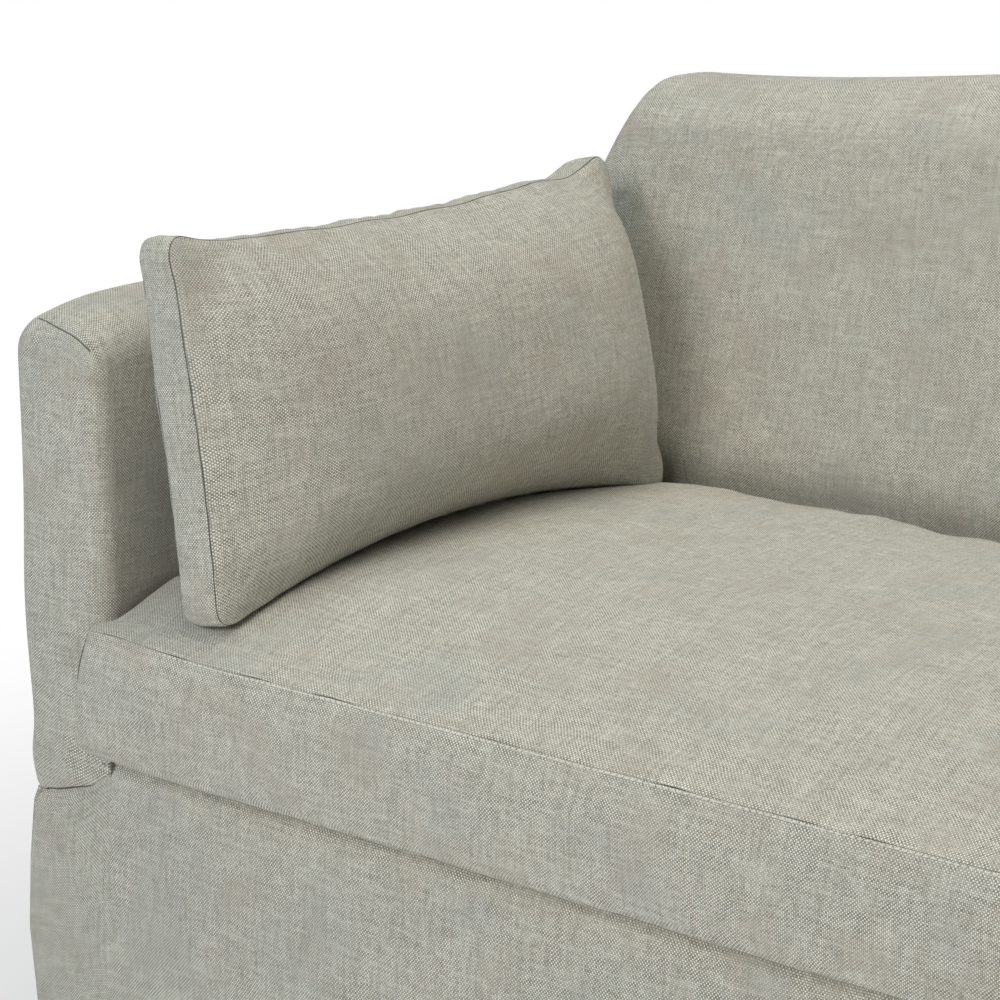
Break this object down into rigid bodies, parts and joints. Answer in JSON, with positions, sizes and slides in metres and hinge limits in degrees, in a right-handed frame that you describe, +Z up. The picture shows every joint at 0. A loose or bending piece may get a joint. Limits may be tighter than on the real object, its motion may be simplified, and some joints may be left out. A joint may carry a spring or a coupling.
{
  "type": "camelback sofa",
  "caption": "Skirted camelback sofa with low flat-topped arms, a tight reclined back, a loose bench seat cushion and a boxed kidney pillow against each arm.",
  "frame": {"origin": "on the floor, under the middle of the sofa's box", "axes": "+X along the sofa's length to the right as seen from the front, +Y from the front to the back, +Z up; the seat faces -Y"},
  "size_m": [2.202, 0.94, 0.965],
  "materials": {
    "linen": "matte",
    "padding": "matte",
    "burlap": "matte",
    "zip_tape": "matte",
    "frame_timber": "matte",
    "foot_timber": "satin",
    "spring_steel": "satin"
  },
  "bodies": {
    "body": {"front_rail": "frame_timber", "spring_rail": "frame_timber", "rear_rail": "frame_timber", "centre_stretcher": "frame_timber", "left_side_rail": "frame_timber", "right_side_rail": "frame_timber", "left_corner_block": "frame_timber", "right_corner_block": "frame_timber", "left_arm_front_post": "frame_timber", "right_arm_front_post": "frame_timber", "left_arm_rear_post": "frame_timber", "right_arm_rear_post": "frame_timber", "left_arm_top_rail": "frame_timber", "right_arm_top_rail": "frame_timber", "left_arm_stay_rail": "frame_timber", "right_arm_stay_rail": "frame_timber", "back_upright_1": "frame_timber", "back_upright_2": "frame_timber", "back_upright_3": "frame_timber", "back_upright_4": "frame_timber", "back_top_rail": "frame_timber", "back_burlap": "burlap", "front_left_foot": "foot_timber", "front_centre_foot": "foot_timber", "front_right_foot": "foot_timber", "rear_left_foot": "foot_timber", "rear_centre_foot": "foot_timber", "rear_right_foot": "foot_timber", "seat_spring_1": "spring_steel", "seat_spring_2": "spring_steel", "seat_spring_3": "spring_steel", "seat_spring_4": "spring_steel", "seat_spring_5": "spring_steel", "seat_spring_6": "spring_steel", "seat_spring_7": "spring_steel", "seat_spring_8": "spring_steel", "deck_pad": "padding", "deck_cover": "linen", "left_arm_front_panel": "linen", "right_arm_front_panel": "linen", "left_arm_cover": "linen", "right_arm_cover": "linen", "left_arm_pad": "padding", "right_arm_pad": "padding", "inside_back_cover": "linen", "back_pad": "padding", "outside_back_cover": "linen", "front_skirt": "linen", "rear_skirt": "linen", "left_skirt": "linen", "right_skirt": "linen"},
    "seat_cushion": {"seat_cushion_core": "padding", "seat_cushion_cover": "linen", "seat_cushion_zip": "zip_tape"},
    "left_pillow": {"left_pillow_insert": "padding", "left_pillow_cover": "linen", "left_pillow_zip": "zip_tape"},
    "right_pillow": {"right_pillow_insert": "padding", "right_pillow_cover": "linen", "right_pillow_zip": "zip_tape"}
  },
  "joints": [
    {"name": "seat_cushion_lift", "type": "slide", "parent": "body", "child": "seat_cushion", "axis": [0, 0, 1], "range_m": [0, 0.45]},
    {"name": "left_pillow_lift", "type": "slide", "parent": "seat_cushion", "child": "left_pillow", "axis": [0, 0, 1], "range_m": [0, 0.35]},
    {"name": "right_pillow_lift", "type": "slide", "parent": "seat_cushion", "child": "right_pillow", "axis": [0, 0, 1], "range_m": [0, 0.35]}
  ]
}
